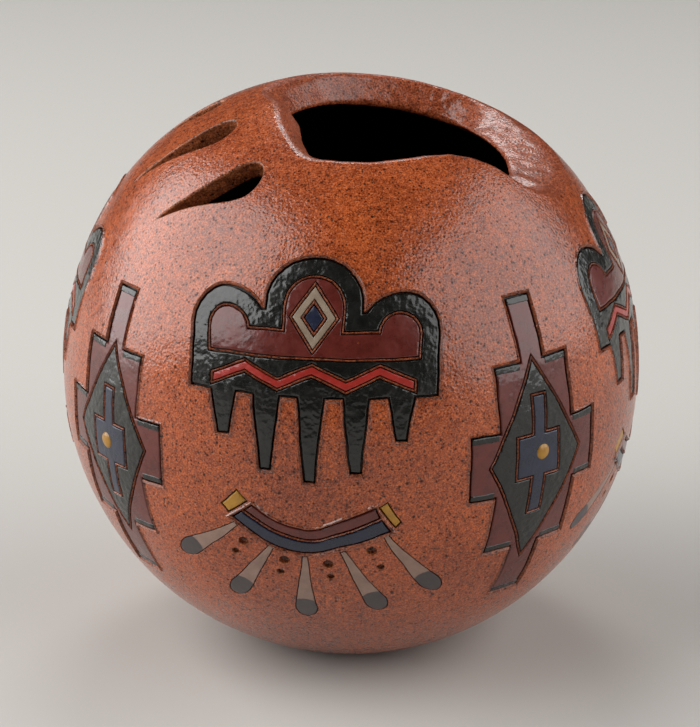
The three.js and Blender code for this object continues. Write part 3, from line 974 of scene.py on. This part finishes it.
# Feather fans under the panels: a bent double band of maroon and blue with an ochre tab at
# each end, and five feathers painted flat in a scratched outline. Dots drilled with a fine
# and a finer bit stand in pairs between them.
FAN_LONGITUDES = [-8.4, 81.6, 171.6, 261.6]
BAND_TOP = [(-13.9, -9.1), (-8.1, -12.6), (0, -15.1), (8.7, -12), (17.1, -8.3)]
BAND_MIDDLE = [(-16.6, -11.1), (-8.3, -16.1), (0.1, -18.7), (8.6, -16.1), (18.3, -11.8)]
BAND_LOW = [(-19.6, -13.5), (-9.9, -20), (-0.3, -22.8), (9.8, -20), (21, -16)]
LEFT_TAB = [(-21.9, -10), (-19.9, -12.4), (-14.8, -8.5), (-17.4, -5.6)]
RIGHT_TAB = [(17.6, -8.5), (21.6, -14.8), (23.2, -13), (19.8, -6.9)]
FEATHERS = [
    ((-18.1, -15.4), (-34.6, -28.2)), ((-9, -20.8), (-20.6, -40.1)),
    ((-0.9, -23.5), (-2, -46.9)), ((8.6, -21.5), (17.2, -43.2)), ((19.1, -16.8), (31.8, -36.6)),
]
FEATHER_ROOT = 0.7
FEATHER_HALF_WIDTH = 2.8
FEATHER_END = 4.2
FEATHER_SPLIT = 0.665
FEATHER_DEPTH = 0.5
TIP_ROUND = 5.2
TIP_BLUR = (-0.15, 0.15)
TIP_COLOUR = "#3c3335"
FEATHER_LINE = (0.14, 0.1)
TAB_LINE = (0.22, 0.45)
BIG_DRILL = 1.3
SMALL_DRILL = 1
BIG_DRILLED = [(-16.3, -20.5), (-6, -25.1), (4.8, -25.6), (15.6, -21.3)]
SMALL_DRILLED = [(-18.7, -24.1), (-7.3, -29.3), (5.2, -30), (17.6, -26.7)]
DRILLED_DEPTH = 1.2


def open_curve(points):
    """A smooth curve through points, kept to its two ends."""
    ends = [Vector(points[0]) * 2 - Vector(points[1])]
    ends += [Vector(p) for p in points] + [Vector(points[-1]) * 2 - Vector(points[-2])]
    result = []
    for four in zip(ends, ends[1:], ends[2:], ends[3:]):
        result += smooth_stretch(*four, 8)
    return result + [tuple(points[-1])]


def feather(root, tip):
    """A feather's outline: narrow at the root, widening all the way to a round end."""
    root, tip = Vector(root), Vector(tip)
    along = (tip - root).normalized()
    across = Vector((-along.y, along.x))
    length = (tip - root).length - FEATHER_END
    side = []
    for k in range(9):
        share = k / 9
        width = FEATHER_ROOT + (FEATHER_HALF_WIDTH - FEATHER_ROOT) * share**1.1
        side.append((share * length, width))
    end = [
        (length + a * FEATHER_END, w * FEATHER_HALF_WIDTH)
        for a, w in arc(0, 0, 1, math.pi / 2, -math.pi / 2, 14)
    ]
    whole = side + end + [(a, -w) for a, w in reversed(side)]
    return [tuple(root + along * a + across * w) for a, w in whole]


def feather_slip():
    """Taupe slip for the vane and dark grey for the tip, brushed flat, with a round border."""
    material = fired_slip("feather_slip", "#957769", "#806357", 0.36, 0.00008)
    colour = material.node_tree.nodes["Principled BSDF"].inputs["Base Color"]
    ground = colour.links[0].from_socket
    inside = add_range(material, add_attribute(material, "tip"), TIP_BLUR)
    both = add_mix(material, inside, ground, linear(TIP_COLOUR))
    material.node_tree.links.new(both, colour)
    return material


painted_feather = feather_slip()
band_gap = RIDGE / 2
upper, middle, lower = (open_curve(line) for line in (BAND_TOP, BAND_MIDDLE, BAND_LOW))
maroon_band = middle + upper[::-1]
blue_band = lower + middle[::-1]
whole_band = lower + [(18.4, -11.5)] + upper[::-1]
maroon_field, blue_field = grown(maroon_band, -band_gap), grown(blue_band, -band_gap)
for number, longitude in enumerate(FAN_LONGITUDES, 1):
    direction = on_side(longitude)
    fan = f"fan_{number}_"
    raise_burr(whole_band, direction)
    carve([(maroon_field, []), (blue_field, []), (LEFT_TAB, []), (RIGHT_TAB, [])], direction)
    for name, outline, low, lumps in (
        ("band_maroon", maroon_field, 0.08, 0.08), ("band_blue", blue_field, 0.05, 0.08),
        ("tab_left_ochre", LEFT_TAB, 0.02, 0.06), ("tab_right_ochre", RIGHT_TAB, 0.02, 0.06),
    ):
        fill(fan + name, direction, outline, [], low, lumps, TAB_LINE, number)
    for count, (root, tip) in enumerate(FEATHERS, 1):
        outline = feather(root, tip)
        carve([(outline, [])], direction, FEATHER_DEPTH)
        plate = slip_plate(
            f"{fan}feather_{count}", outline, [], 0.04, 0.03, painted_feather, count,
            FEATHER_LINE, base=FEATHER_DEPTH,
        )
        along = (Vector(tip) - Vector(root)).normalized()
        border = Vector(root).lerp(Vector(tip), FEATHER_SPLIT) + along * TIP_ROUND
        dark = plate.data.attributes.new("tip", "FLOAT", "POINT")
        for i, vert in enumerate(plate.data.vertices):
            dark.data[i].value = TIP_ROUND - (vert.co.xy - border).length
        seat(plate, direction)
    for places, radius in ((BIG_DRILLED, BIG_DRILL), (SMALL_DRILLED, SMALL_DRILL)):
        rings = [
            (-DRILLED_DEPTH - radius * 0.6, 0.02 - radius), (-DRILLED_DEPTH, -0.05), (-0.15, 0),
            (HEADROOM, HEADROOM + 0.15),
        ]
        for x, y in places:
            hole = arc(x, y, radius, 0, 2 * math.pi, 16)[:-1]
            cutters.append(wrap(prism("drilled", hole, rings, claw_clay), direction))


def joined(pieces, name, finishes):
    """Gathers separate closed pieces in one, each with its own finish."""
    names = [finish.name for finish in finishes]
    bm = bmesh.new()
    for piece in pieces:
        own = [names.index(material.name) for material in piece.data.materials]
        start = len(bm.faces)
        bm.from_mesh(piece.data)
        bm.faces.ensure_lookup_table()
        for face in bm.faces[start:]:
            face.material_index = own[face.material_index]
        bpy.data.objects.remove(piece)
    return new_piece(name, bm, *finishes)


# The carving goes into the wall in one cut. Every point of the wall then learns how deep it
# lies below the skin, which darkens the carved lines with painted shade, and how much painted
# shade darkens it inside.
combine(wall, joined(burrs, "burrs", [tooled_clay]), "UNION")
finishes = [skin_clay, lip_clay, claw_clay, groove_clay]
combine(wall, joined(cutters, "carving", finishes), "DIFFERENCE")
depth = wall.data.attributes.new("depth", "FLOAT", "POINT")
inside_shade = wall.data.attributes.new("inside_shade", "FLOAT", "POINT")
for i, vert in enumerate(wall.data.vertices):
    spot = vert.co * 1000 - Vector((0, 0, FOOT_DROP))
    direction = spot.normalized()
    depth.data[i].value = (
        reach(math.asin(direction.z)) + unevenness(direction) - spot.length
        if spot.z > 2 - FOOT_DROP else 0
    )
    # Painted shade inside: none in a band round the mouth, full deeper in the pot
    inside_shade.data[i].value = (
        eased(from_mouth(direction), *UNSHADED_ROUND_MOUTH) if direction.z > LOWEST_UNSHADED
        else 1
    )
smooth(wall)
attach(wall, "root")
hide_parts("pot_wall")

# The studio: a plain pale floor, a large soft light at each side and a small one behind, which
# lights the edge of the mouth. The camera is at the photograph's height of 20 degrees, 0.8 m
# from the pot.
POT_MIDDLE = Vector((0, 0, 0.07))
FLOOR_REACH = 4
CAMERA_PLACE = (0, -0.7518, 0.3448)
CAMERA_RISE = math.radians(20)

bm = bmesh.new()
bmesh.ops.create_grid(bm, x_segments=1, y_segments=1, size=FLOOR_REACH)
floor_finish, floor_shader = new_material("studio_floor")
floor_shader.inputs["Base Color"].default_value = linear("#bcb9b4")
floor_shader.inputs["Roughness"].default_value = 0.9
floor = new_piece("floor", bm, floor_finish)


def soft_light(name, turn, rise, distance, width, height, power, roll=0):
    """A soft box that faces the pot, turned round it from the front and raised."""
    data = bpy.data.lights.new(name, "AREA")
    data.shape = "RECTANGLE"
    data.size, data.size_y, data.energy = width, height, power
    lamp = bpy.data.objects.new(name, data)
    bpy.context.scene.collection.objects.link(lamp)
    flat = math.cos(math.radians(rise))
    away = Vector((
        flat * math.sin(math.radians(turn)), -flat * math.cos(math.radians(turn)),
        math.sin(math.radians(rise)),
    ))
    lamp.location = POT_MIDDLE + away * distance
    facing = away.to_track_quat("Z", "Y") @ Quaternion((0, 0, 1), math.radians(roll))
    lamp.rotation_euler = facing.to_euler()


soft_light("left_softbox", -87, 31, 1.1, 1.75, 1.2, 25, roll=27)
soft_light("right_softbox", 78, 28, 1.2, 1.85, 1.25, 17.5, roll=-2)
soft_light("back_softbox", 180, 50, 1.1, 0.35, 0.3, 3.2)

world = bpy.data.worlds.new("studio")
bpy.context.scene.world = world
world.use_nodes = True
world.node_tree.nodes["Background"].inputs["Color"].default_value = linear("#ffffff")
world.node_tree.nodes["Background"].inputs["Strength"].default_value = 0.05

camera_data = bpy.data.cameras.new("camera")
camera_data.sensor_width = 36
camera_data.lens = 150.73
camera_data.shift_x = -0.0012
camera_data.shift_y = 0.0084
camera = bpy.data.objects.new("camera", camera_data)
bpy.context.scene.collection.objects.link(camera)
camera.location = CAMERA_PLACE
camera.rotation_euler = (math.pi / 2 - CAMERA_RISE, 0, 0)
bpy.context.scene.camera = camera
bpy.context.scene.view_settings.view_transform = "Standard"
